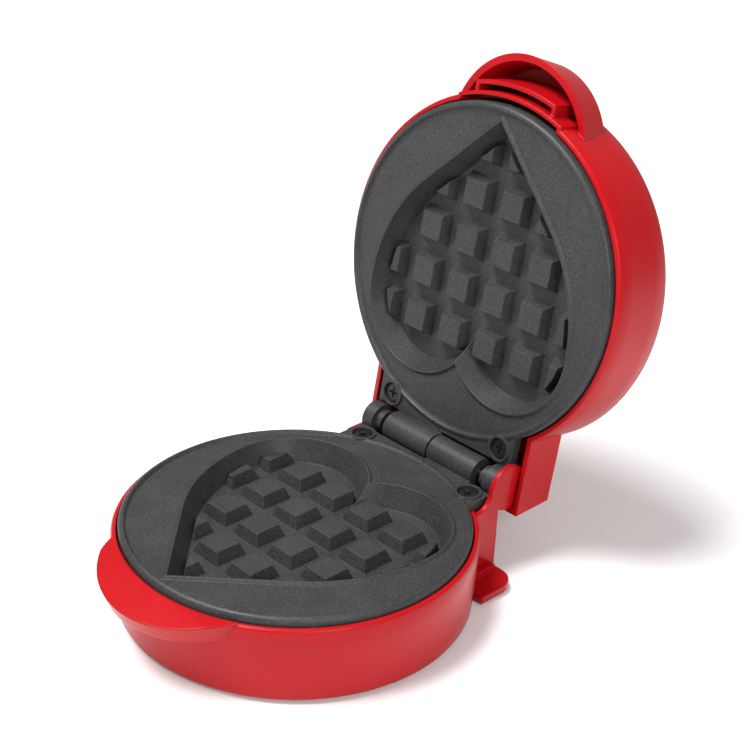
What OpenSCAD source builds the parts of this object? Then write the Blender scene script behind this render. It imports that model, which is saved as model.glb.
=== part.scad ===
// Small electric waffle maker: two round die-cast plates with heart-shaped
// pockets, each in its own plastic housing, joined by a pinned hinge.
// Lengths are in millimetres. +X is the right side, -Y the front, +Z up.
// The lid is drawn standing open on its stop.

/* [Cooking plates] */
// Outer radius of a cooking plate
plate_r = 60; // [59:0.25:60.25]
// Width of the raised rim round a plate
rim_w = 2.2; // [1.6:0.1:3]
// Height of the rim above the flat
rim_h = 1.1; // [0.6:0.1:1.6]
// Thickness of the plate's flat web
web_t = 3.5; // [3:0.1:4.5]
// Depth of the heart pocket below the flat
pocket_d = 7.2; // [6.6:0.1:7.4]
// How far the pocket's wall leans inwards from top to floor
pocket_lean = 3.6; // [2.4:0.2:4]
// Metal left under the pocket's floor
floor_t = 3.5; // [3:0.1:3.5]

/* [Heart and studs] */
// Radius of each lobe of the heart
lobe_r = 26; // [25:0.25:26.5]
// Distance of a lobe's centre from the centre line
lobe_x = 20.7; // [20:0.1:21]
// Distance of the lobes' centres behind the plate's centre
lobe_y = 17; // [16:0.25:18]
// Radius of the long side curve of the heart
side_r = 60; // [58:0.5:61]
// Spacing of the waffle studs in both directions
stud_pitch = 17.23; // [16.8:0.05:17.5]
// Side of a stud's top face
stud_top = 9.4; // [8:0.1:10]
// Side of a stud at the pocket's floor
stud_base = 12.7; // [12:0.1:13.2]
// Height of the bead round the heart, above the flat
bead_h = 0.9; // [0.5:0.1:1]
// Depth of a stud's top face below the flat
stud_drop = 2.9; // [2:0.1:4]

/* [Hinge] */
// Distance of the hinge axis behind the plate's centre
hinge_y = 67.2; // [67:0.05:67.5]
// Gap between the two rims when the lid is shut
shut_gap = 2; // [1.6:0.1:2.4]
// Angle between the shut lid and the open lid
open_angle = 99.7; // [95:0.1:101]
// Radius of the hinge barrels
barrel_r = 5.6; // [5:0.1:5.8]
// Radius of the hinge pin
pin_r = 1.75; // [1.5:0.05:2]
// Half the width of the plates' hinge flange
flange_w = 33; // [32:0.25:33.25]

/* [Base housing] */
// Radius of the housings at their rim
shell_r = 62.5; // [62.2:0.1:63]
// Radius of the base at its bottom edge
base_foot_r = 61.5; // [60:0.1:62]
// Height of the base housing's bottom below the plate's rim
base_depth = 30.4; // [30:0.1:32]
// Wall thickness of the plastic housings
wall = 2.4; // [2:0.1:2.6]
// Radius of the front grip lip
lip_r = 34.7; // [33.5:0.1:35.5]
// Half the width of the neck under the hinge
neck_w = 35.8; // [35.4:0.1:36]
// Radius of the hinge hood
hood_r = 8.5; // [8.2:0.1:8.7]
// Half the width of the foot tabs beside the neck
tab_w = 48.5; // [46:0.5:50]

/* [Lid housing] */
// Height of the lid housing's top above the plate's rim
lid_depth = 30; // [29:0.1:31]
// Radius of the lid's arched handle
arch_r = 30.4; // [29:0.1:31]
// Half the outer width of the tail box that covers the hinge
tail_w = 38.5; // [38.2:0.1:39.5]
// Distance of the tail box's end behind the plate's centre
tail_y = 78; // [77.8:0.1:79]

/* [Hidden] */

$fn = 96;
eps = 0.01;
far = 200;

// The part's frame stands on the rubber feet, centred under the open object.
foot_h = 1.2;
peg_h = 1.6;
floor_z = base_depth + foot_h;
plate_y = -22.7;

// Levels of a plate, measured down from its rim.
flat_z = rim_h;
web_z = flat_z + web_t;
pan_z = flat_z + pocket_d;
under_z = pan_z + floor_t;
pin_z = shut_gap / 2;
flange_z0 = 0.6;
flange_z1 = 4.1;
flange_y = hinge_y - 6.2;
skirt_z = 6.4;

// Hinge stations along X.
seam = 0.4;
barrel_end = 22.5;
boss_start = 25.2;
ear_start = 28;
pin_clear = 0.05;

// Fasteners.
screw_x = 26.9;
screw_y = 56;
m3_r = 1.5;
head_r = 3.3;
head_h = 1.3;
fit = 0.06;

// Heating element and what hangs under a plate.
ring_r = 34;
tube_r = 3.3;
ring_gap = 30;
tube_z = under_z + tube_r + 0.1;
tail_end_y = 44;
term_y = 49;
clip_angles = [-90, 25, 155];
clip_r = ring_r - 9;
reflector_r = 50;
reflector_z = 20;
reflector_t = 0.6;
posts = [[-32, -32], [32, -32], [0, 44]];
post_r = 3;

red = "#b8282c";
dark = "#3c3c3e";
steel = "#b9bcc0";
zinc = "#8f9396";

// ---------------------------------------------------------------- placing

module part_frame() {
  translate([0, plate_y, floor_z]) children();
}

// A piece drawn as if it hung under the base plate is turned over into the lid,
// and the lid is swung open about the hinge axis.
module in_lid() {
  part_frame()
    translate([0, hinge_y, pin_z])
      rotate([-open_angle, 0, 0])
        translate([0, -hinge_y, -pin_z])
          translate([0, 0, shut_gap])
            rotate([0, 180, 0])
              children();
}

// A cylinder along X from x0 to x1, on the hinge axis.
module on_axis(x0, x1, r) {
  translate([x0, hinge_y, pin_z])
    rotate([0, 90, 0])
      cylinder(h = x1 - x0, r = r);
}

// A box given by its lowest and highest corners.
module block(lo, hi) {
  translate(lo) cube(hi - lo);
}

// A ring turned about Z.
module ring(r_in, r_out, z0, z1) {
  difference() {
    translate([0, 0, z0]) cylinder(h = z1 - z0, r = r_out);
    translate([0, 0, z0 - 1]) cylinder(h = z1 - z0 + 2, r = r_in);
  }
}

// ---------------------------------------------------------------- heart

// A cone frustum between two levels, wider at the upper one.
module cone(x, y, z_low, z_high, r_low, r_high) {
  translate([x, y, z_low]) cylinder(h = z_high - z_low, r1 = r_low, r2 = r_high);
}

// Everything inside the heart's right side: an arc about (-side_x, lobe_y) that
// runs on at 45 degrees as a straight flank to the tip.
module inside_side(z_low, z_high, off_low, off_high) {
  side_x = side_r - lobe_x - lobe_r;
  translate([-side_x, lobe_y, 0])
    rotate([0, 0, -45]) {
      intersection() {
        cone(0, 0, z_low, z_high, side_r + off_low, side_r + off_high);
        block([-far, 0, z_low - 1], [far, far, z_high + 1]);
      }
      rotate([90, 0, 0])
        linear_extrude(far)
          polygon([[-far, z_low], [side_r + off_low, z_low],
                   [side_r + off_high, z_high], [-far, z_high]]);
    }
}

// The heart between two levels, grown sideways by off_low and off_high.
module heart(z_low, z_high, off_low, off_high) {
  for (s = [-1, 1])
    cone(s * lobe_x, lobe_y, z_low, z_high, lobe_r + off_low, lobe_r + off_high);
  intersection() {
    inside_side(z_low, z_high, off_low, off_high);
    mirror([1, 0, 0]) inside_side(z_low, z_high, off_low, off_high);
    block([-far, -far, z_low], [far, lobe_y, z_high]);
  }
}

// One tapered ridge of the stud grid, centred on the X axis and running along it.
module ridge() {
  slope = (stud_base - stud_top) / 2 / (pocket_d - stud_drop);
  low = stud_base / 2 + slope;
  rotate([90, 0, 90])
    translate([0, 0, -far / 2])
      linear_extrude(far)
        polygon([[-low, -pan_z - 1], [low, -pan_z - 1],
                 [stud_top / 2, -flat_z - stud_drop], [-stud_top / 2, -flat_z - stud_drop]]);
}

// One row of studs; columns are counted in half pitches from the centre line.
module stud_row(y, columns) {
  intersection() {
    translate([0, y, 0]) ridge();
    for (c = columns)
      translate([c * stud_pitch / 2, 0, 0]) rotate([0, 0, 90]) ridge();
  }
}

module studs() {
  first = -26.4;
  stud_row(first - stud_pitch, [-1, 1]);
  stud_row(first, [-3, -1, 1, 3]);
  stud_row(first + stud_pitch, [-3, -1, 1, 3]);
  stud_row(first + 2 * stud_pitch, [-5, -3, -1, 1, 3, 5]);
  stud_row(first + 3 * stud_pitch, [-5, -3, -1, 1, 3, 5]);
}

// ---------------------------------------------------------------- shared pieces

// The cast cooking plate. The lid's plate is the same casting turned over.
module plate() {
  lean_up = (pocket_lean + 0.15) / (pocket_d + bead_h);
  difference() {
    union() {
      translate([0, 0, -web_z]) cylinder(h = web_t, r = plate_r - 0.5);
      rotate_extrude()
        polygon([[plate_r - rim_w - 0.6, -web_z], [plate_r - 1.6, -skirt_z], [plate_r, -skirt_z],
                 [plate_r, -1.4], [plate_r - 0.25, -0.7], [plate_r - 0.9, -0.15],
                 [plate_r - 1.5, 0], [plate_r - rim_w + 0.3, 0],
                 [plate_r - rim_w, -0.4], [plate_r - rim_w - 0.6, -flat_z - eps]]);
      heart(-under_z, -web_z + 1, 1.2, 2.7);
      heart(-web_z + 1, -flat_z + bead_h, 4.2, 0.75);
      block([-flange_w, 40, -flange_z1], [flange_w, flange_y, -flange_z0]);
      block([seam, flange_y - 1, -flange_z1], [barrel_end, hinge_y, -flange_z0]);
      block([-flange_w, flange_y - 1, -flange_z1], [-ear_start, hinge_y, -flange_z0]);
      for (s = [-1, 1])
        translate([s * screw_x, screw_y, -flange_z1]) cylinder(h = flange_z1 - flange_z0 + 0.7, r = 4.9);
      on_axis(seam, barrel_end, barrel_r);
      on_axis(-flange_w, -ear_start, barrel_r + 0.4);
      on_axis(-ear_start - 1, -boss_start, barrel_r - 1.4);
      for (p = posts)
        translate([p.x, p.y, -reflector_z]) cylinder(h = reflector_z - web_z + 1, r = post_r);
    }
    difference() {
      heart(-pan_z, 0.4, -pocket_lean, (pan_z + 0.4) * lean_up - pocket_lean);
      intersection() {
        studs();
        heart(-pan_z - 1, 0, -pocket_lean - 0.3, -pocket_lean - 1.5);
      }
    }
    difference() {
      translate([0, 0, -flat_z]) cylinder(h = rim_h + 1, r = plate_r - rim_w - 0.6 + eps);
      heart(-flat_z - 0.2, -flat_z + bead_h, 1.95, 0.75);
    }
    on_axis(-flange_w - 1, barrel_end + 1, pin_r + pin_clear);
    for (s = [-1, 1]) {
      translate([s * screw_x, screw_y, -far / 2]) cylinder(h = far, r = 2.1);
      translate([s * screw_x, screw_y, -flange_z0 - 1.6]) cylinder(h = far, r = 3.9);
    }
    for (a = clip_angles)
      rotate([0, 0, a]) translate([clip_r, 0, -under_z - 1]) cylinder(h = 3.2, r = m3_r + fit);
    for (s = [-1, 1])
      translate([s * 13, 0, -under_z - 1]) cylinder(h = 3.2, r = m3_r + fit);
    for (p = posts)
      translate([p.x, p.y, -reflector_z - 1]) cylinder(h = 8, r = m3_r + fit);
  }
}

// A Phillips screw whose head faces up, with its bearing face at z.
module screw(x, y, z, length, r_head = head_r) {
  translate([x, y, z]) difference() {
    union() {
      cylinder(h = head_h, r = r_head);
      translate([0, 0, -length]) cylinder(h = length + eps, r = m3_r);
    }
    for (a = [0, 90])
      rotate([0, 0, a]) translate([-1.9, -0.35, head_h - 0.8]) cube([3.8, 0.7, 1]);
  }
}

// A pan-head screw driven upwards, with its bearing face at z.
module screw_up(x, y, z, length) {
  translate([x, y, z]) mirror([0, 0, 1]) screw(0, 0, 0, length, 2.8);
}

module plate_screws() {
  for (s = [-1, 1]) screw(s * screw_x, screw_y, -flange_z0 - 1.6, 11);
}

// Sheathed tubular element: an open ring with two straight tails and cold pins.
module heater() {
  end_x = ring_r * sin(ring_gap);
  end_y = ring_r * cos(ring_gap);
  translate([0, 0, -tube_z]) {
    rotate([0, 0, 90 + ring_gap])
      rotate_extrude(angle = 360 - 2 * ring_gap)
        translate([ring_r, 0]) circle(r = tube_r);
    for (s = [-1, 1]) {
      translate([s * end_x, end_y - 1, 0]) rotate([-90, 0, 0])
        cylinder(h = tail_end_y - end_y + 1, r = tube_r);
      translate([s * end_x, tail_end_y - 1, 0]) rotate([-90, 0, 0])
        cylinder(h = term_y - tail_end_y + 1, r = 1.2);
    }
  }
}

// Saddle clips of sheet steel that hold the element against the plate.
module heater_clips() {
  width = 7;
  inner = tube_r + 0.4;
  outer = inner + 0.8;
  for (a = clip_angles)
    rotate([0, 0, a]) {
      translate([ring_r, -width / 2, -tube_z]) difference() {
        union() {
          rotate([-90, 0, 0]) cylinder(h = width, r = outer);
          block([-outer, 0, 0], [outer, width, tube_z - under_z - fit]);
        }
        translate([0, -1, 0]) rotate([-90, 0, 0]) cylinder(h = width + 2, r = inner);
        block([-inner, -1, 0], [inner, width + 1, tube_z]);
      }
      difference() {
        block([clip_r - 4, -width / 2, -under_z - fit - 0.8],
              [ring_r - inner - 0.2, width / 2, -under_z - fit]);
        translate([clip_r, 0, -under_z - 2]) cylinder(h = 3, r = m3_r + 0.2);
      }
    }
}

module clip_screws() {
  for (a = clip_angles)
    rotate([0, 0, a]) screw_up(clip_r, 0, -under_z - fit - 0.8, 2.9);
}

// Pressed tin heat shield with a stiffening step, held on the plate's posts.
module reflector() {
  z = -reflector_z;
  difference() {
    union() {
      translate([0, 0, z - reflector_t]) cylinder(h = reflector_t, r = reflector_r);
      ring(reflector_r - reflector_t, reflector_r, z - reflector_t, z + 3);
    }
    for (p = posts)
      translate([p.x, p.y, z - 2]) cylinder(h = 4, r = m3_r + 0.25);
    for (s = [-1, 1])
      block([s * 17 - 5, 40, z - 2], [s * 17 + 5, 60, z + 5]);
    translate([0, 26, z - 2]) cylinder(h = 4, r = 4);
  }
}

module reflector_screws() {
  for (p = posts) screw_up(p.x, p.y, -reflector_z - reflector_t, 6);
}

function unit(v) = v / norm(v);

// Direction of a route at one of its points.
function heading(path, i) = unit(
  (i < len(path) - 1 ? unit(path[i + 1] - path[i]) : [0, 0, 0]) +
  (i > 0 ? unit(path[i] - path[i - 1]) : [0, 0, 0]));

// A round insulated lead swept along a list of points.
module lead(path, r = 1.1) {
  n = 10;
  last = len(path) - 1;
  rings = [for (i = [0 : last])
    let (d = heading(path, i), u = unit(cross(d, [0.41, 0.13, 0.9])), v = cross(d, u))
      for (k = [0 : n - 1])
        path[i] + r * (cos(360 * k / n) * u + sin(360 * k / n) * v)];
  sides = [for (i = [0 : last - 1]) for (k = [0 : n - 1])
    let (a = i * n + k, b = i * n + (k + 1) % n)
      for (f = [[a, b + n, b], [a, a + n, b + n]]) f];
  polyhedron(rings, concat(sides, [[for (k = [0 : n - 1]) k]],
    [[for (k = [0 : n - 1]) last * n + n - 1 - k]]));
}

// ---------------------------------------------------------------- base

// Space that a plate's skirt takes up inside a housing.
module plate_room() {
  translate([0, 0, -skirt_z - 1]) cylinder(h = 30, r = plate_r + 0.4);
}

// Outline of a housing of revolution: outer wall, rounded edges and cavity.
module bowl_profile(r_rim, r_end, depth, edge, z_rim) {
  polygon([[0, -depth], [r_end - edge, -depth], [r_end - edge * 0.3, -depth + edge * 0.3],
           [r_end, -depth + edge], [r_rim, -z_rim - 1.6], [r_rim - 0.5, -z_rim - 0.4],
           [r_rim - 1.3, -z_rim], [plate_r + 0.6, -z_rim], [plate_r + 0.4, -skirt_z - 1],
           [r_end - wall, -depth + wall + 1.5], [r_end - wall - 1.5, -depth + wall],
           [0, -depth + wall]]);
}

shell_z = 2.6;
neck_y1 = 62.5;
tab_t = 2.7;
lip_y = -40.1;
lip_slope = 12;
gland_x = -15;
gland_z = -17;
front_feet = [[-34, -38], [34, -38]];
rear_feet = [[-40, 52], [40, 52]];

// The curve that leads from the neck's top up into the hood's round end.
module cheek_fillet() {
  r = 6;
  top = -flange_z1 + 0.2;
  cy = hinge_y - sqrt(pow(hood_r + r, 2) - pow(top + r - pin_z, 2));
  difference() {
    block([-neck_w, cy, top - 1], [neck_w, hinge_y, pin_z]);
    translate([-neck_w - 1, cy, top + r]) rotate([0, 90, 0]) cylinder(h = 2 * neck_w + 2, r = r);
  }
}

module foot_tabs() {
  corner = 7.5;
  y1 = neck_y1 - 1.5;
  difference() {
    union() {
      for (s = [-1, 1])
        translate([s * (tab_w - corner), y1 - corner, -base_depth])
          cylinder(h = tab_t, r = corner);
      block([corner - tab_w, 38, -base_depth], [tab_w - corner, y1, -base_depth + tab_t]);
      block([-tab_w, 43, -base_depth], [tab_w, y1 - corner, -base_depth + tab_t]);
      for (s = [-1, 1])
        block([s * 37.2 - 2.2, 44, -base_depth + tab_t - 0.5],
              [s * 37.2 + 2.2, y1 - 2, -base_depth + tab_t + 2.2]);
    }
    translate([0, 0, -base_depth - 1]) cylinder(h = 10, r = base_foot_r - 1);
  }
}

// Level of the lip's top, which droops from the bowl's rim to the lip's edge.
module above_lip() {
  translate([0, -plate_r - 0.6, -shell_z])
    rotate([lip_slope, 0, 0])
      block([-lip_r - 5, -40, 0], [lip_r + 5, 0, 30]);
}

module lip() {
  difference() {
    cone(0, lip_y, -10.5, -shell_z, lip_r - 3, lip_r);
    above_lip();
    translate([0, 0, -20]) cylinder(h = 30, r = plate_r + 0.6);
  }
}

module base_housing() {
  inner = neck_w - 1.8;
  color(red) part_frame() difference() {
    union() {
      rotate_extrude() bowl_profile(shell_r, base_foot_r, base_depth, 1.6, shell_z);
      difference() {
        union() {
          block([-neck_w, 46, -base_depth], [neck_w, neck_y1, -flange_z1 + 0.2]);
          cheek_fillet();
          on_axis(-neck_w, neck_w, hood_r);
        }
        // room for the bowl, the plates' flange and barrels, and the wiring
        translate([0, 0, -base_depth + wall]) cylinder(h = 60, r = base_foot_r - wall);
        block([-inner, 40, -base_depth + wall], [inner, neck_y1 - wall, 20]);
        on_axis(-inner, inner, hood_r - 1.7);
        block([-inner, 50, -6], [inner, hinge_y, 20]);
        // the left cheek and the back wall stop below the barrels' tops
        block([-neck_w - 1, 50, pin_z + 0.3], [inner, 90, 20]);
        block([-neck_w - 1, 50, -2.2], [1 - inner, 64.5, 20]);
      }
      lip();
      foot_tabs();
      for (s = [-1, 1])
        translate([s * screw_x, screw_y, -base_depth + 1]) cylinder(h = base_depth - flange_z1 - 1, r = 3.6);
    }
    // opening in the bowl's rear wall behind the plate
    block([-inner, 45, -flange_z1], [inner, neck_y1 - wall, 10]);
    difference() {
      block([-inner, 44, -base_depth + wall], [inner, neck_y1 - wall, 10]);
      for (s = [-1, 1])
        translate([s * screw_x, screw_y, -far / 2]) cylinder(h = far, r = 3.6);
    }
    plate_room();
    above_lip();
    block([-inner, neck_y1 - wall - 0.2, -6], [inner, hinge_y, 20]);
    for (s = [-1, 1])
      translate([s * screw_x, screw_y, -14]) cylinder(h = 30, r = m3_r + fit);
    for (p = concat(front_feet, rear_feet))
      translate([p.x, p.y, -base_depth - 1]) cylinder(h = 1 + peg_h, r = 2);
    translate([gland_x, neck_y1 - wall - 1, gland_z]) rotate([-90, 0, 0]) cylinder(h = wall + 2, r = 4.6);
  }
}

module base_plate() {
  color(dark) part_frame() plate();
}

module base_plate_screws() {
  color(steel) part_frame() plate_screws();
}

module base_heater() {
  color(zinc) part_frame() heater();
}

module base_heater_clips() {
  color(steel) part_frame() heater_clips();
}

module base_clip_screws() {
  color(steel) part_frame() clip_screws();
}

module base_reflector() {
  color("#c8ccd0") part_frame() reflector();
}

module base_reflector_screws() {
  color(steel) part_frame() reflector_screws();
}

// Bimetal disc thermostat in a ceramic body, with two tab terminals.
module thermostat() {
  z = -under_z - fit;
  color("#d9d4c6") part_frame() {
    translate([0, 0, z - 0.8]) cylinder(h = 0.8, r = 9);
    translate([0, 0, z - 6]) cylinder(h = 5.3, r = 7.8);
    for (s = [0, 180])
      rotate([0, 0, s]) block([-2, 6, z - 4], [2, 12.5, z - 3.2]);
  }
}

// Sheet bracket that presses the thermostat's flange on the plate.
module thermostat_bracket() {
  z = -under_z - fit - 0.8;
  color(steel) part_frame() difference() {
    union() {
      block([-17, -5, z - 0.8], [17, 5, z]);
      translate([0, 0, z - 0.8]) cylinder(h = 0.8, r = 10.5);
      for (s = [-1, 1])
        block([s * 13.6 - 3.4, -5, z - 0.8], [s * 13.6 + 3.4, 5, z + 0.8]);
    }
    translate([0, 0, z - 2]) cylinder(h = 5, r = 7.9);
    for (s = [-1, 1])
      translate([s * 13, 0, z - 2]) cylinder(h = 5, r = m3_r + 0.2);
  }
}

module bracket_screws() {
  color(steel) part_frame()
    for (s = [-1, 1]) screw_up(s * 13, 0, -under_z - fit - 1.6, 3.7);
}

fuse_y = -19;
fuse_z = -under_z - 3;

// One-shot thermal cut-out: a small metal can with two wire ends.
module thermal_fuse() {
  color(zinc) part_frame() translate([0, fuse_y, fuse_z]) rotate([0, 90, 0]) {
    translate([0, 0, -6]) cylinder(h = 12, r = 2);
    translate([0, 0, -14]) cylinder(h = 28, r = 0.5, $fn = 24);
  }
}

// Glass-fibre sleeve over the thermal cut-out.
module fuse_sleeve() {
  color("#e8e4d8") part_frame() translate([0, fuse_y, fuse_z]) rotate([0, 90, 0])
    ring(2.06, 2.7, -11, 11);
}

block_lo = [-4, 51, -base_depth + wall];
block_hi = [18, 59, -base_depth + wall + 8.5];

// Three-way terminal block on the floor of the neck.
module terminal_block() {
  color("#e4e2da") part_frame() difference() {
    block(block_lo, block_hi);
    for (i = [0 : 2]) {
      translate([block_lo.x + 4 + 7 * i, block_lo.y + 4.5, block_hi.z - 5]) cylinder(h = 6, r = 1.7);
      translate([block_lo.x + 4 + 7 * i, block_lo.y - 1, block_lo.z + 3]) rotate([-90, 0, 0])
        cylinder(h = 12, r = 1.4);
    }
  }
}

module terminal_screws() {
  color(steel) part_frame()
    for (i = [0 : 2])
      translate([block_lo.x + 4 + 7 * i, block_lo.y + 4.5, block_hi.z - 4.9]) difference() {
        cylinder(h = 4.4, r = 1.6);
        translate([-2, -0.3, 3.7]) cube([4, 0.6, 1]);
      }
}

// Moulded bush that lines the cord's inlet in the back of the neck.
gland_bore = 3;
module cord_gland() {
  color("#2a2a2c") part_frame() translate([gland_x, 0, gland_z]) rotate([-90, 0, 0]) difference() {
    union() {
      translate([0, 0, neck_y1 - wall - 1.5]) cylinder(h = 1.5, r = 5.6);
      translate([0, 0, neck_y1 - wall]) cylinder(h = wall, r = 4.5);
      translate([0, 0, neck_y1]) cylinder(h = 1.5, r = 5.6);
    }
    translate([0, 0, neck_y1 - wall - 3]) cylinder(h = 10, r = gland_bore);
  }
}

// Insulated leads between the terminal block, the element and the controls.
module base_leads() {
  zt = -tube_z;
  px = ring_r * sin(ring_gap);
  clamp_z = block_lo.z + 3;
  tab_z = -under_z - 3.7;
  color("#e6e2d6") part_frame() {
    lead([[14, block_lo.y - 0.4, clamp_z], [18, 47, clamp_z + 1.6], [px + 1, 53, -18],
          [px, term_y + 1, zt]]);
    lead([[-px, term_y + 1, zt], [-13, 53, zt], [-9, 46, zt], [-9, 20, zt - 0.3],
          [-12, 8, -17.6], [-20, -10, -17.6], [-15.6, fuse_y, fuse_z]]);
    lead([[15.6, fuse_y, fuse_z], [18.5, -14, -16.6], [6, -12.6, -17.6], [1.5, -14.2, tab_z]]);
    lead([[0, 14, tab_z], [0, 22, -16], [0, 30, -24], [7, 45, clamp_z], [7, block_lo.y - 0.4, clamp_z]]);
    lead([[0, block_lo.y - 0.4, clamp_z], [-3, 47, clamp_z + 1], [-22, 52, -20], [-22, 56, -10]]);
  }
}

module rubber_feet() {
  color("#2f2f31") part_frame()
    for (p = concat(front_feet, rear_feet))
      translate([p.x, p.y, -floor_z]) {
        cylinder(h = foot_h, r = 5);
        cylinder(h = foot_h + peg_h - 0.1, r = 1.94);
      }
}

module hinge_pin() {
  color(steel) part_frame() on_axis(-flange_w - 0.4, flange_w + 0.4, pin_r);
}

// ---------------------------------------------------------------- lid

arch_y = -46.7;
arch_z0 = 10;
arch_z1 = 24.4;
tail_z0 = 3;
tail_z1 = 19.5;
lens_y = -34;

module arch(r_grow, z_top, z_low) {
  cone(0, arch_y, -z_low, -z_top, arch_r - 3 + r_grow, arch_r + r_grow);
}

// The tail box in side view, leaning in towards its top.
module tail_box(half, y0, y1, y2, z0, z1) {
  rotate([90, 0, 90])
    translate([0, 0, -half])
      linear_extrude(2 * half)
        polygon([[y0, -z0], [y1, -z0], [y2, -z1], [y0, -z1]]);
}

module lid_housing() {
  inner = tail_w - 2;
  rib = 18;
  rib_w = 22;
  rib_r = 61.9;
  color(red) in_lid() difference() {
    union() {
      difference() {
        union() {
          rotate_extrude()
            bowl_profile(shell_r + 0.1, shell_r - 0.2, lid_depth, 2.6, shell_z);
          difference() {
            tail_box(tail_w, 44, tail_y, tail_y - 3, tail_z0, tail_z1);
            translate([0, 0, -lid_depth]) cylinder(h = lid_depth, r = shell_r - 1);
          }
        }
        tail_box(inner, 43, tail_y - 2, tail_y - 4.9, -1, tail_z1 - 2);
      }
      // arched handle, hollow and open towards the base
      difference() {
        arch(0, arch_z0, arch_z1);
        difference() {
          arch(-2.4, arch_z0 - 1, arch_z1 - 2.4);
          translate([0, 0, -arch_z1 - 1]) cylinder(h = arch_z1 + 2, r = shell_r - 1);
        }
        translate([0, 0, -lid_depth + 1]) cylinder(h = lid_depth, r = shell_r - 1);
      }
      // rib that follows the plate's edge inside the handle
      intersection() {
        ring(plate_r + 0.6, rib_r + 1.4, -12, -3);
        block([-rib_w - 1.4, -80, -12], [rib_w + 1.4, -40, 0]);
      }
      // U-shaped rib inside the handle
      difference() {
        intersection() {
          translate([0, 0, -arch_z1 + 1]) cylinder(h = arch_z1 - 6, r = 67);
          block([-rib, -80, -arch_z1], [rib, 0, 0]);
        }
        intersection() {
          translate([0, 0, -arch_z1]) cylinder(h = arch_z1, r = 65.4);
          block([-rib + 1.6, -80, -arch_z1 + 2.4], [rib - 1.6, 0, 0]);
        }
        translate([0, 0, -arch_z1 - 1]) cylinder(h = arch_z1, r = shell_r - 1);
      }
      for (s = [-1, 1])
        translate([s * screw_x, screw_y, -lid_depth + 1])
          cylinder(h = lid_depth - flange_z1 - 1, r = 3.6);
    }
    plate_room();
    intersection() {
      translate([0, 0, -9]) cylinder(h = 20, r = rib_r);
      block([-rib_w, -80, -9], [rib_w, -40, 10]);
    }
    // way out of the dome for the plate's flange and for the wiring
    block([-flange_w - 1, 50, -flange_z1], [flange_w + 1, 66, 10]);
    block([-20, 50, -16], [20, 66, 10]);
    for (s = [-1, 1])
      translate([s * screw_x, screw_y, -14]) cylinder(h = 30, r = m3_r + fit);
    translate([0, lens_y, -lid_depth - 1]) cylinder(h = 6, r = 3.1);
    translate([0, lens_y, -lid_depth - 1]) cylinder(h = 1.6, r = 4.1);
  }
}

module lid_plate() {
  color(dark) in_lid() plate();
}

module lid_plate_screws() {
  color(steel) in_lid() plate_screws();
}

module lid_heater() {
  color(zinc) in_lid() heater();
}

module lid_heater_clips() {
  color(steel) in_lid() heater_clips();
}

module lid_clip_screws() {
  color(steel) in_lid() clip_screws();
}

module lid_reflector() {
  color("#c8ccd0") in_lid() reflector();
}

module lid_reflector_screws() {
  color(steel) in_lid() reflector_screws();
}

// Clear domed window of the pilot light, in the top of the lid.
module indicator_lens() {
  color("#d85a3a") in_lid() translate([0, lens_y, 0]) {
    translate([0, 0, -lid_depth - 0.4]) cylinder(h = 1, r = 4);
    translate([0, 0, -lid_depth + 0.6 - eps]) cylinder(h = 2.2, r = 3);
  }
}

// Lamp on its small board, behind the window.
module indicator_lamp() {
  color("#4a6b48") in_lid() {
    translate([0, lens_y, -lid_depth + wall + 0.6]) cylinder(h = 1.2, r = 1.6);
    difference() {
      block([-9, lens_y - 4, -lid_depth + wall + 1.7], [9, lens_y + 4, -lid_depth + wall + 2.7]);
      for (s = [-1, 1])
        translate([s * 6.5, lens_y, -lid_depth]) cylinder(h = 20, r = 1.2);
    }
  }
}

module lamp_board_screws() {
  color(steel) in_lid()
    for (s = [-1, 1]) {
      translate([s * 6.5, lens_y, -lid_depth + wall + fit]) cylinder(h = 2.7, r = 1.1);
      translate([s * 6.5, lens_y, -lid_depth + wall + 2.76]) cylinder(h = 0.8, r = 2);
    }
}

module lid_leads() {
  zt = -tube_z;
  px = ring_r * sin(ring_gap);
  color("#e6e2d6") in_lid() {
    for (s = [-1, 1])
      lead([[s * px, term_y + 1, zt], [s * px, 55, -16], [s * 8, 63, -15]]);
    lead([[6, 57, -17], [6, 52, -23], [6, 20, -23], [4, lens_y + 5.4, -22.9]], 0.8);
  }
}

base_housing();
base_plate();
base_plate_screws();
base_heater();
base_heater_clips();
base_clip_screws();
base_reflector();
base_reflector_screws();
thermostat();
thermostat_bracket();
bracket_screws();
thermal_fuse();
fuse_sleeve();
terminal_block();
terminal_screws();
cord_gland();
base_leads();
rubber_feet();
hinge_pin();
lid_housing();
lid_plate();
lid_plate_screws();
lid_heater();
lid_heater_clips();
lid_clip_screws();
lid_reflector();
lid_reflector_screws();
indicator_lens();
indicator_lamp();
lamp_board_screws();
lid_leads();
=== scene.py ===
import bpy
import math
from mathutils import Matrix, Vector


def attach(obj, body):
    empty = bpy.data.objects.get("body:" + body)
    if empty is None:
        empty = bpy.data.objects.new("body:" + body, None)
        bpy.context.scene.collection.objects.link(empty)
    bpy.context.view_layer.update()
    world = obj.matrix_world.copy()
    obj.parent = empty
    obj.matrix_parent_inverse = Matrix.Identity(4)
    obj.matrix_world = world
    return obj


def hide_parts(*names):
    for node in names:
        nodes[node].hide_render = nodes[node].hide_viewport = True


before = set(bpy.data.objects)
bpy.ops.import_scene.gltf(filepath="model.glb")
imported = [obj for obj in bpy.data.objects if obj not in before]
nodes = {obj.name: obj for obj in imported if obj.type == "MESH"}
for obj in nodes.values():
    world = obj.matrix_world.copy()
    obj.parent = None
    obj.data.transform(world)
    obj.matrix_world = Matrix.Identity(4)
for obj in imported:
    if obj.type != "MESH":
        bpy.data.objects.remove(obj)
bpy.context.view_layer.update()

MM = 0.001

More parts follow.
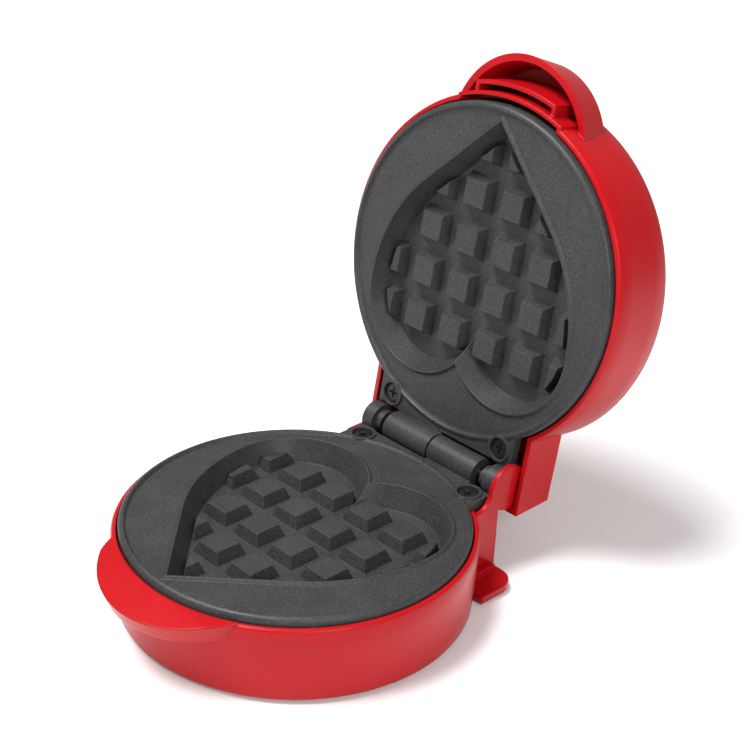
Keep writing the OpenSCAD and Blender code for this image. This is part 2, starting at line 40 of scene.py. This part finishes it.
# ---- Base housing --------------------------------------------------------
# One injection-moulded bowl of glossy red plastic: the shell, the drooping
# grip lip in front, the hollow neck that carries the hinge, and two foot
# tabs. Its outer corners leave the mould with a small radius.

housing_edge_mm = 0.9
weld_mm = 0.004
flat_angle = math.radians(0.05)
sharp_angle = math.radians(32)
red = (0.36, 0.003, 0.006, 1.0)


def only(piece):
    bpy.ops.object.select_all(action="DESELECT")
    piece.select_set(True)
    bpy.context.view_layer.objects.active = piece


def finished_copy(node, name):
    """A copy of a CAD node with its triangles merged into whole, smoothly shaded faces."""
    piece = nodes[node].copy()
    piece.data = nodes[node].data.copy()
    piece.name = piece.data.name = name
    piece.modifiers.clear()
    bpy.context.collection.objects.link(piece)
    piece.parent = None
    piece.matrix_world = Matrix.Identity(4)
    only(piece)
    bpy.ops.object.mode_set(mode="EDIT")
    bpy.ops.mesh.select_all(action="SELECT")
    bpy.ops.mesh.remove_doubles(threshold=weld_mm * MM)
    bpy.ops.mesh.dissolve_limited(angle_limit=flat_angle)
    bpy.ops.object.mode_set(mode="OBJECT")
    bpy.ops.mesh.customdata_custom_splitnormals_clear()
    bpy.ops.object.shade_smooth_by_angle(angle=sharp_angle)
    return piece


def finish(name, color, roughness, grain_mm, shade=0.12, rough_spread=0.05, bump=0.05,
           bump_mm=0.02, metallic=0.0, specular=0.5, patch_mm=30.0, patch=0.06,
           edge_mm=0.15):
    """A moulded, coated, drawn or cast surface: fine grain over broad uneven patches."""
    made = bpy.data.materials.new(name)
    made.use_nodes = True
    tree = made.node_tree
    shader = tree.nodes["Principled BSDF"]
    shader.inputs["Metallic"].default_value = metallic
    shader.inputs["Specular IOR Level"].default_value = specular
    place = tree.nodes.new("ShaderNodeTexCoord")

    def noise(size_mm, detail):
        made_noise = tree.nodes.new("ShaderNodeTexNoise")
        made_noise.inputs["Scale"].default_value = 1000.0 / size_mm
        made_noise.inputs["Detail"].default_value = detail
        tree.links.new(place.outputs["Object"], made_noise.inputs["Vector"])
        return made_noise.outputs["Fac"]

    def spread(source, low, high):
        reach = tree.nodes.new("ShaderNodeMapRange")
        reach.inputs["From Min"].default_value = 0.3
        reach.inputs["From Max"].default_value = 0.7
        reach.inputs["To Min"].default_value = low
        reach.inputs["To Max"].default_value = high
        tree.links.new(source, reach.inputs["Value"])
        return reach.outputs["Result"]

    grain = noise(grain_mm, 3.0)
    patches = noise(patch_mm, 2.0)
    both = tree.nodes.new("ShaderNodeMath")
    both.operation = "MULTIPLY"
    tree.links.new(spread(grain, 1.0 - shade, 1.0 + shade), both.inputs[0])
    tree.links.new(spread(patches, 1.0 - patch, 1.0 + patch), both.inputs[1])
    tint = tree.nodes.new("ShaderNodeVectorMath")
    tint.operation = "SCALE"
    tint.inputs[0].default_value = color[:3]
    tree.links.new(both.outputs[0], tint.inputs["Scale"])
    tree.links.new(tint.outputs["Vector"], shader.inputs["Base Color"])
    tree.links.new(spread(patches, roughness - rough_spread, roughness + rough_spread),
                   shader.inputs["Roughness"])
    relief = tree.nodes.new("ShaderNodeBump")
    relief.inputs["Strength"].default_value = bump
    relief.inputs["Distance"].default_value = bump_mm * MM
    tree.links.new(grain, relief.inputs["Height"])
    edge = tree.nodes.new("ShaderNodeBevel")
    edge.samples = 6
    edge.inputs["Radius"].default_value = edge_mm * MM
    tree.links.new(edge.outputs["Normal"], relief.inputs["Normal"])
    tree.links.new(relief.outputs["Normal"], shader.inputs["Normal"])
    return made


def dress(piece, skin):
    piece.data.materials.clear()
    piece.data.materials.append(skin)


red_plastic = finish("red gloss plastic", red, 0.30, grain_mm=1.4, shade=0.02, rough_spread=0.04,
                     bump=0.12, bump_mm=0.02, specular=0.2, patch_mm=25, patch=0.03,
                     edge_mm=housing_edge_mm)
base_shell = finished_copy("base_housing", "base_shell")
dress(base_shell, red_plastic)
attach(base_shell, "base")
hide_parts("base_housing")

# ---- Base heat reflector -------------------------------------------------
# A shallow dish of bright tinplate under the heater. It throws the heat up
# into the plate and keeps the plastic bowl cool; short screws hold it.

bright_tin = finish("bright tinplate", (0.62, 0.62, 0.60, 1), 0.28, grain_mm=0.8, shade=0.05,
                    bump=0.2, metallic=1.0, patch_mm=18, patch=0.1)
zinc_steel = finish("zinc-plated steel", (0.50, 0.51, 0.50, 1), 0.38, grain_mm=0.5, shade=0.08,
                    bump=0.25, metallic=1.0, patch_mm=12, patch=0.12)
dress(nodes["base_reflector"], bright_tin)
dress(nodes["base_reflector_screws"], zinc_steel)

# ---- Base heating element ------------------------------------------------
# A ring of steel-sheathed resistance rod, browned by heat, pressed to the
# plate's underside by stamped clips with a screw each.

browned_sheath = finish("browned heater sheath", (0.20, 0.15, 0.11, 1), 0.5, grain_mm=0.6, shade=0.2,
                        bump=0.4, metallic=0.9, patch_mm=8, patch=0.35)
dress(nodes["base_heater"], browned_sheath)
dress(nodes["base_heater_clips"], zinc_steel)
dress(nodes["base_clip_screws"], zinc_steel)

# ---- Thermostat ----------------------------------------------------------
# A snap-disc thermostat in a white ceramic body, held against the plate's
# underside by a folded steel bracket and two screws.

white_ceramic = finish("white ceramic", (0.78, 0.76, 0.70, 1), 0.45, grain_mm=0.4, shade=0.05,
                       bump=0.25, patch_mm=6, patch=0.06)
dress(nodes["thermostat"], white_ceramic)
dress(nodes["thermostat_bracket"], zinc_steel)
dress(nodes["bracket_screws"], zinc_steel)

# ---- Thermal fuse --------------------------------------------------------
# A small crimped metal can whose contact opens for good if the maker
# overheats, inside a woven glass-fibre sleeve.

fuse_can = finish("fuse can", (0.55, 0.50, 0.40, 1), 0.35, grain_mm=0.3, shade=0.08, bump=0.2,
                  metallic=1.0, patch_mm=5, patch=0.1)
glass_sleeve = finish("woven glass sleeve", (0.70, 0.66, 0.56, 1), 0.85, grain_mm=0.35, shade=0.2,
                      bump=0.9, bump_mm=0.1, patch_mm=6, patch=0.08)
dress(nodes["thermal_fuse"], fuse_can)
dress(nodes["fuse_sleeve"], glass_sleeve)

# ---- Terminal block and leads --------------------------------------------
# A white plastic block with brass screws joins the cord's cores to the
# heater; the leads wear white high-temperature sleeves.

white_plastic = finish("white terminal plastic", (0.80, 0.79, 0.74, 1), 0.4, grain_mm=0.6, shade=0.03,
                       bump=0.15, patch_mm=8, patch=0.04)
terminal_brass = finish("terminal brass", (0.66, 0.48, 0.20, 1), 0.32, grain_mm=0.4, shade=0.08,
                        bump=0.2, metallic=1.0, patch_mm=5, patch=0.12)
lead_sleeve = finish("silicone lead sleeve", (0.72, 0.70, 0.66, 1), 0.6, grain_mm=0.5, shade=0.06,
                     bump=0.3, patch_mm=9, patch=0.06)
dress(nodes["terminal_block"], white_plastic)
dress(nodes["terminal_screws"], terminal_brass)
dress(nodes["base_leads"], lead_sleeve)

# ---- Cord gland ----------------------------------------------------------
# A black rubber bush pressed into the neck's rear wall, with the cord's
# round way through it.

black_rubber = finish("black rubber", (0.022, 0.022, 0.023, 1), 0.72, grain_mm=0.5, shade=0.2,
                      bump=0.5, bump_mm=0.04, specular=0.4, patch_mm=7, patch=0.15)
gland = finished_copy("cord_gland", "cord_bush")
dress(gland, black_rubber)
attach(gland, "base")
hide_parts("cord_gland")

# ---- Rubber feet ---------------------------------------------------------
# Four thin black rubber discs with a peg each, moulded in one piece and
# pushed into blind holes in the housing's underside.

feet = finished_copy("rubber_feet", "soft_feet")
dress(feet, black_rubber)
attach(feet, "base")
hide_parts("rubber_feet")

# ---- Base cooking plate --------------------------------------------------
# Cast aluminium under a dark non-stick coat, speckled and a little uneven.
# The heart-shaped pocket has round-nosed studs, a raised bead round it, and
# a flat rim that two screws pull down on the bowl.

casting_edge_mm = 0.5
nonstick = finish("dark non-stick coat", (0.030, 0.030, 0.031, 1), 0.46, grain_mm=0.6, shade=0.5,
                  rough_spread=0.05, bump=0.5, bump_mm=0.05, specular=0.3, patch_mm=14, patch=0.12,
                  edge_mm=casting_edge_mm)
base_casting = finished_copy("base_plate", "base_cooking_plate")
dress(base_casting, nonstick)
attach(base_casting, "base")
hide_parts("base_plate")

# ---- Base plate screws ---------------------------------------------------
# Pan-head cross-recess machine screws, blackened, one at each side of the
# plate's hinge flange.

black_steel = finish("blackened screw steel", (0.03, 0.03, 0.031, 1), 0.36, grain_mm=0.4, shade=0.2,
                     bump=0.3, metallic=0.7, patch_mm=4, patch=0.2)
base_screws = finished_copy("base_plate_screws", "base_rim_screws")
dress(base_screws, black_steel)
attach(base_screws, "base")
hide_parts("base_plate_screws")

# ---- Hinge pin -----------------------------------------------------------
# A ground steel pin through both plates' barrels. The lid's barrel and ear
# turn on it.

pin_steel = finish("ground pin steel", (0.56, 0.56, 0.57, 1), 0.22, grain_mm=0.3, shade=0.04,
                   bump=0.12, metallic=1.0, patch_mm=9, patch=0.06)
pin = finished_copy("hinge_pin", "hinge_rod")
dress(pin, pin_steel)
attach(pin, "base")
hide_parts("hinge_pin")

# ---- Lid housing ---------------------------------------------------------
# The lid's deep bowl of the same red plastic, with the arched handle in
# front and the boxed tail behind that shuts down over the neck.

lid_shell = finished_copy("lid_housing", "lid_shell")
dress(lid_shell, red_plastic)
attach(lid_shell, "lid")
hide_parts("lid_housing")

# ---- Lid reflector and heating element -----------------------------------
# The same dish, rod, clips and screws as in the base, turned over.

dress(nodes["lid_reflector"], bright_tin)
dress(nodes["lid_reflector_screws"], zinc_steel)
dress(nodes["lid_heater"], browned_sheath)
dress(nodes["lid_heater_clips"], zinc_steel)
dress(nodes["lid_clip_screws"], zinc_steel)
dress(nodes["lid_leads"], lead_sleeve)

# ---- Indicator light -----------------------------------------------------
# A small board with a neon lamp behind a clear amber lens that snaps into
# the top of the lid.

lamp_board = finish("lamp board", (0.28, 0.20, 0.10, 1), 0.55, grain_mm=0.5, shade=0.15, bump=0.3,
                    patch_mm=6, patch=0.1)
lens_plastic = finish("amber lens plastic", (0.75, 0.16, 0.02, 1), 0.12, grain_mm=0.8, shade=0.03,
                      bump=0.05, patch_mm=5, patch=0.04)
lens_plastic.node_tree.nodes["Principled BSDF"].inputs["Coat Weight"].default_value = 0.5
dress(nodes["indicator_lamp"], lamp_board)
dress(nodes["lamp_board_screws"], zinc_steel)
lens = finished_copy("indicator_lens", "lamp_lens")
dress(lens, lens_plastic)
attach(lens, "lid")
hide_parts("indicator_lens")

# ---- Lid cooking plate and screws ----------------------------------------
# The same casting as the base plate, turned over, with its own barrel on the
# same pin, held by two more blackened screws.

lid_casting = finished_copy("lid_plate", "lid_cooking_plate")
dress(lid_casting, nonstick)
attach(lid_casting, "lid")
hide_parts("lid_plate")
lid_screws = finished_copy("lid_plate_screws", "lid_rim_screws")
dress(lid_screws, black_steel)
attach(lid_screws, "lid")
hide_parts("lid_plate_screws")

# ---- Camera --------------------------------------------------------------
# A long lens from the front right, above the open plates.

azimuth, height, roll = math.radians(45.28), math.radians(27.40), math.radians(2.56)
eye = Vector((355.59, -340.05, 333.91)) * MM
back = Vector((math.sin(azimuth) * math.cos(height), -math.cos(azimuth) * math.cos(height), math.sin(height)))
level = (-back).cross(Vector((0, 0, 1))).normalized()
upright = level.cross(-back)
right = level * math.cos(roll) + upright * math.sin(roll)
top = upright * math.cos(roll) - level * math.sin(roll)
camera = bpy.data.objects.new("camera", bpy.data.cameras.new("camera"))
bpy.context.collection.objects.link(camera)
camera.data.lens = 79.66
camera.data.sensor_width = 36
camera.data.shift_x = -0.0012
camera.data.shift_y = -0.0035
camera.data.clip_start = 0.01
camera.data.clip_end = 20
camera.matrix_world = Matrix(((right.x, top.x, back.x, eye.x), (right.y, top.y, back.y, eye.y),
                              (right.z, top.z, back.z, eye.z), (0, 0, 0, 1)))
bpy.context.scene.camera = camera

# ---- Floor, backdrop and lights ------------------------------------------
# A plain white table under two wide soft lamps, in an even white room.

bpy.ops.mesh.primitive_plane_add(size=6, location=(0, 0, 0))
floor = bpy.context.object
floor.name = "floor"
dress(floor, finish("floor paint", (0.93, 0.93, 0.93, 1), 0.85, grain_mm=3, shade=0.005,
                    rough_spread=0.02, bump=0.02, specular=0.1, patch_mm=300, patch=0.004))


def softbox(name, size, place, aim, power):
    lamp = bpy.data.objects.new(name, bpy.data.lights.new(name, "AREA"))
    bpy.context.collection.objects.link(lamp)
    lamp.data.shape = "DISK"
    lamp.data.size = size
    lamp.data.energy = power
    lamp.location = place
    lamp.rotation_mode = "QUATERNION"
    lamp.rotation_quaternion = (Vector(aim) - Vector(place)).to_track_quat("-Z", "Y")


softbox("key", 0.8, (-0.35, -0.45, 1.4), (0, 0, 0.05), 36)
softbox("side", 0.7, (1.3, -0.5, 0.9), (0, 0, 0.08), 13)
world = bpy.data.worlds.new("studio")
bpy.context.scene.world = world
world.use_nodes = True
world.node_tree.nodes["Background"].inputs["Color"].default_value = (1, 1, 1, 1)
world.node_tree.nodes["Background"].inputs["Strength"].default_value = 0.38
bpy.context.scene.view_settings.view_transform = "Standard"
